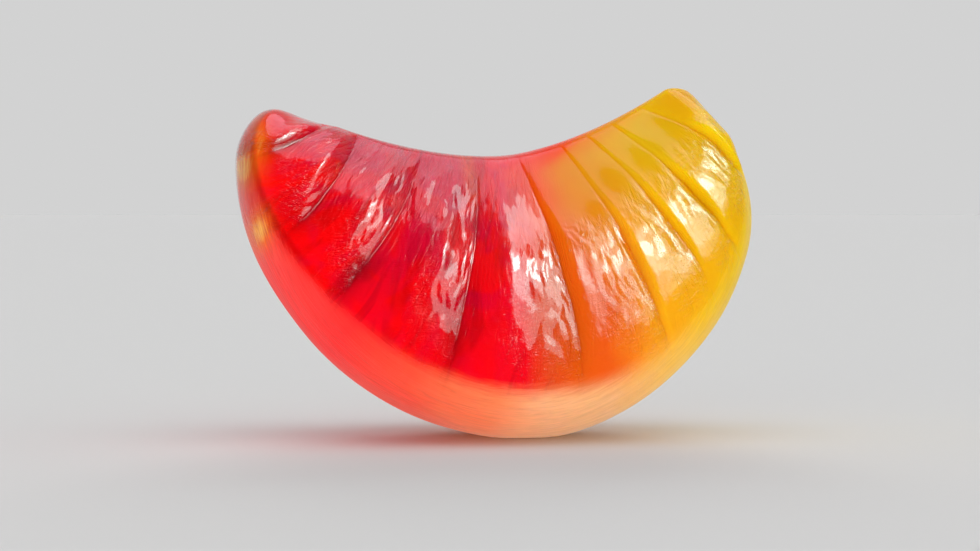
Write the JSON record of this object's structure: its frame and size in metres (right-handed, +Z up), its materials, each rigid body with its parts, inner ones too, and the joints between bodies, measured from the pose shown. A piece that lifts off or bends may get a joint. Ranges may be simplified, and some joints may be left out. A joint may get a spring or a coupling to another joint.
{
  "type": "gummy supplement",
  "caption": "Crescent gummy shaped like a citrus segment, with pulp lobes on its faces, standing on a small flat of its rounded back.",
  "frame": {"origin": "bottom centre of the bounding box, on the surface that the gummy stands on", "axes": "+Z up, +X along the crescent towards the yellow horn, -Y out of the shown face"},
  "size_m": [0.0282, 0.0146, 0.0191],
  "materials": {
    "jelly": "glossy translucent jelly that runs from red through orange to yellow, matter on the rounded back"
  },
  "bodies": {
    "root": {"gummy": "jelly"}
  },
  "joints": []
}
